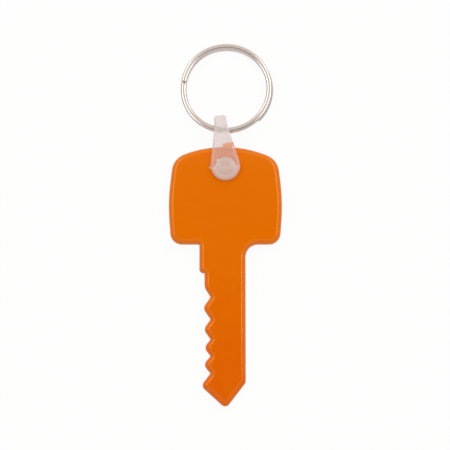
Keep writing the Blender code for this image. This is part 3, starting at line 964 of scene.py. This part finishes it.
def orange_plastic():
    """Satin orange plastic with faint mottling, painted shade that makes it darker and redder towards the
    tip, and a fine moulded grain.
    """
    material, nodes, shader = new_material("orange_plastic_look")
    place = nodes.add("ShaderNodeTexCoord").outputs["Object"]
    along = nodes.add("ShaderNodeSeparateXYZ", {0: place}).outputs["Y"]
    # Painted shade: darker and redder towards the tip.
    tipward_shade = nodes.span(along, 0.0, STEM_PAINTED_SHADE_END, 0.0, 1.0, smooth=True)
    shaded_orange = nodes.blend(tipward_shade, ORANGE_HEAD, ORANGE_STEM_IN_PAINTED_SHADE)
    cloud = nodes.noise(place, MOTTLE_SCALE, detail=3.0, roughness=0.6)
    patch = nodes.span(cloud, *MOTTLE_SPAN, 0.0, 1.0)
    mottled = nodes.blend(nodes.math("MULTIPLY", patch, MOTTLE_SHARE), shaded_orange, ORANGE_MOTTLE)
    nodes.feed(shader, "Base Color", mottled)
    haze = nodes.noise(place, ORANGE_HAZE_SCALE, detail=3.0)
    nodes.feed(shader, "Roughness", nodes.span(haze, *NOISE_MIDDLE, *ORANGE_ROUGHNESS))
    grain = nodes.math("MULTIPLY", nodes.noise(place, GRAIN_SCALE), GRAIN_SHARE)
    height = nodes.math("ADD", grain, nodes.noise(place, RIPPLE_SCALE))
    relief = {"Strength": RELIEF_STRENGTH, "Distance": RELIEF_HEIGHT, "Height": height}
    nodes.feed(shader, "Normal", nodes.add("ShaderNodeBump", relief).outputs["Normal"])
    shader.inputs["Specular IOR Level"].default_value = ORANGE_SPECULAR
    shader.inputs["Specular Tint"].default_value = ORANGE_SPECULAR_TINT
    return material


def milky_plastic():
    """Milky plastic that lets what lies behind it show, more so where it is thin, with painted light and
    shade in its colour.
    """
    material, nodes, shader = new_material("milky_plastic_look")
    place = nodes.add("ShaderNodeTexCoord").outputs["Object"]
    cloud = nodes.noise(place, CLOUD_SCALE)
    masks = {name: nodes.add("ShaderNodeAttribute", attribute_name=name).outputs["Fac"] for name in MASKS}
    # Painted light over the head and painted shade beyond it.
    lit_over_head = nodes.blend(cloud, *MILKY_LIT_OVER_HEAD)
    shaded_beyond_head = nodes.blend(cloud, *MILKY_SHADED_BEYOND_HEAD)
    colour = nodes.blend(masks["loop"], lit_over_head, shaded_beyond_head)
    for name, tint in MILKY_ZONES.items():
        colour = nodes.blend(masks[name], colour, tint)
    line = nodes.math("MULTIPLY", masks["line"], MILKY_LINE_SHARE)
    nodes.feed(shader, "Base Color", nodes.blend(line, colour, MILKY_LINE_AND_HIGHLIGHT))
    hidden_by_line = nodes.math("MULTIPLY", masks["line"], MILKY_LINE_OPACITY)
    nodes.feed(shader, "Alpha", nodes.math("ADD", masks["opacity"], hidden_by_line))
    shader.inputs["Roughness"].default_value = MILKY_ROUGHNESS
    shader.inputs["Specular IOR Level"].default_value = MILKY_SPECULAR
    return material


def nickel():
    """Polished nickel plate with fine lines along the wire and faint haze."""
    material, nodes, shader = new_material("nickel_look")
    wire = nodes.add("ShaderNodeUVMap", uv_map="along_wire").outputs["UV"]
    stretched = nodes.add("ShaderNodeMapping", {"Vector": wire, "Scale": WIRE_LINES}).outputs["Vector"]
    lines = nodes.noise(stretched, 1.0, detail=3.0, roughness=0.6)
    place = nodes.add("ShaderNodeTexCoord").outputs["Object"]
    haze = nodes.noise(place, NICKEL_HAZE_SCALE)
    nodes.feed(shader, "Base Color", nodes.blend(haze, *NICKEL_TINTS))
    nodes.feed(shader, "Roughness", nodes.span(lines, *NOISE_MIDDLE, *NICKEL_ROUGHNESS))
    shader.inputs["Metallic"].default_value = 1.0
    return material


def seen_or_mirrored(nodes):
    """1 for rays from the camera and for those that mirror or pass through a surface, 0 for the rest."""
    rays = nodes.add("ShaderNodeLightPath").outputs
    sent_on = nodes.math("MAXIMUM", rays["Is Glossy Ray"], rays["Is Transmission Ray"])
    return nodes.math("MAXIMUM", rays["Is Camera Ray"], sent_on)


def white_floor():
    """White paper that still takes a little of the light, so that the keychain's shadow shows on it."""
    material = bpy.data.materials.new("floor_paper")
    material.use_nodes = True
    material.node_tree.nodes.clear()
    nodes = Nodes(material.node_tree)
    paper = nodes.add("ShaderNodeBsdfDiffuse", {"Color": FLOOR_PAPER}).outputs[0]
    white = nodes.add("ShaderNodeEmission", {"Color": FLOOR_WHITE, "Strength": 1.0}).outputs[0]
    share = nodes.math("MULTIPLY", seen_or_mirrored(nodes), FLOOR_WHITE_SHARE)
    mixed = nodes.add("ShaderNodeMixShader", {0: share, 1: paper, 2: white}).outputs[0]
    nodes.add("ShaderNodeOutputMaterial", {"Surface": mixed})
    mesh = bpy.data.meshes.new("floor")
    ways = ((-1, -1), (1, -1), (1, 1), (-1, 1))
    corners = [(across * FLOOR_HALF, along * FLOOR_HALF, 0) for across, along in ways]
    mesh.from_pydata(corners, [], [(0, 1, 2, 3)])
    mesh.materials.append(material)
    floor = bpy.data.objects.new("floor", mesh)
    bpy.context.scene.collection.objects.link(floor)


def studio_world():
    """A bright surround with a small dark patch overhead.

    It is dimmer towards the tip and beyond the panels, and warmer on the ring's side.
    """
    world = bpy.data.worlds.new("studio")
    world.use_nodes = True
    world.node_tree.nodes.clear()
    nodes = Nodes(world.node_tree)
    way = nodes.add("ShaderNodeTexCoord").outputs["Generated"]
    parts = nodes.add("ShaderNodeSeparateXYZ", {0: way}).outputs
    across = nodes.math("DIVIDE", parts["X"], DARK_PATCH_HALF_WIDTH)
    from_middle = nodes.math("SUBTRACT", parts["Y"], DARK_PATCH_MIDDLE)
    along = nodes.math("DIVIDE", from_middle, DARK_PATCH_HALF_LENGTH)
    squares = nodes.math("ADD", nodes.math("POWER", across, 2.0), nodes.math("POWER", along, 2.0))
    from_patch = nodes.math("SQRT", squares)
    overhead = nodes.span(from_patch, *DARK_PATCH_SOFTNESS, DARK_PATCH_LIGHT, UPPER_LIGHT, smooth=True)
    tip_side = nodes.span(parts["Y"], *TIP_SIDE, TIP_SIDE_SHARE, 1.0, smooth=True)
    aside = nodes.math("ABSOLUTE", parts["X"])
    beyond_panels = nodes.span(aside, *PANEL_EDGE, 1.0, BEYOND_PANELS_SHARE, smooth=True)
    upper = nodes.math("MULTIPLY", nodes.math("MULTIPLY", overhead, tip_side), beyond_panels)
    ring_side = nodes.span(parts["Y"], *RING_SIDE, 0.0, 1.0, smooth=True)
    tone = nodes.blend(ring_side, TIP_SIDE_TONE, RING_SIDE_TONE)
    light = nodes.add("ShaderNodeBackground", {"Color": tone, "Strength": upper}).outputs[0]
    nodes.add("ShaderNodeOutputWorld", {"Surface": light})
    bpy.context.scene.world = world


def panel(name, side, power):
    """A long soft panel along Y that faces the keychain: side is -1 for the left and 1 for the right."""
    lamp = bpy.data.lights.new(name, "AREA")
    lamp.shape = "RECTANGLE"
    lamp.size = PANEL_WIDTH
    lamp.size_y = PANEL_LENGTH
    lamp.energy = power
    thing = bpy.data.objects.new(name, lamp)
    thing.location = (side * PANEL_ASIDE, PANEL_ALONG, PANEL_HEIGHT)
    thing.rotation_euler = (0, side * math.atan2(PANEL_ASIDE, PANEL_HEIGHT), 0)
    thing.visible_camera = False
    bpy.context.scene.collection.objects.link(thing)


def photo_camera():
    data = bpy.data.cameras.new("photo_camera")
    data.lens = CAMERA_LENS
    data.sensor_width = CAMERA_SENSOR
    data.clip_start = CAMERA_NEAR
    camera = bpy.data.objects.new("photo_camera", data)
    back = CAMERA_DISTANCE * math.sin(CAMERA_LEAN)
    height = CAMERA_DISTANCE * math.cos(CAMERA_LEAN)
    camera.location = Vector((CAMERA_AIM[0], CAMERA_AIM[1] - back, height)) * MM
    camera.rotation_euler = (CAMERA_LEAN, 0, 0)
    bpy.context.scene.collection.objects.link(camera)
    bpy.context.scene.camera = camera


def joint_named(name):
    return next(joint for joint in frame["record"]["behaviour"]["joints"] if joint["name"] == name)


def key_place():
    """The key's own frame and its tilt: the origin is the hole's middle, and Z points out of the front."""
    joint = joint_named("strap_swivel")
    tilt = math.atan2(-joint["axis"][1], joint["axis"][2])
    return Matrix.Translation(joint["pos_m"]) @ Matrix.Rotation(tilt, 4, "X"), tilt


def ring_place():
    """The ring's own frame, the ring's centre in it and the hinge's heading.

    The origin is the hinge inside the strap's loop, and Y points to the ring's centre.
    """
    joint = joint_named("ring_swing")
    place, tilt = key_place()
    axis = place.to_3x3().inverted() @ Vector(joint["axis"])
    heading = math.atan2(axis.y, axis.x)
    level = ring_level(math.tau + heading - math.pi / 2)
    hinge_height = joint["pos_m"][2] / MM
    drop = math.asin((hinge_height - level - RING_HEIGHT / 2) / (RING_MIDDLE + RING_RADIUS))
    turn = place.to_3x3() @ Matrix.Rotation(heading, 3, "Z") @ Matrix.Rotation(-drop - tilt, 3, "X")
    return Matrix.Translation(joint["pos_m"]) @ turn.to_4x4(), Vector((0, RING_MIDDLE, -level)), heading


def dress(piece, material, body, node):
    piece.data.materials.append(material)
    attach(piece, body)
    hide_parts(node)


def build():
    bpy.context.scene.view_settings.view_transform = "Standard"
    photo_camera()
    studio_world()
    panel("left_panel", -1, LEFT_PANEL_POWER)
    panel("right_panel", 1, RIGHT_PANEL_POWER)
    white_floor()
    key_frame, _ = key_place()
    dress(key_plate(key_frame), orange_plastic(), "key", "key_body")
    strap_frame = key_frame @ Matrix.Rotation(STRAP_LEAN, 4, "Z")
    dress(strap_moulding(strap_frame), milky_plastic(), "strap", "snap_strap")
    dress(ring_coil(*ring_place()), nickel(), "ring", "split_ring")


build()
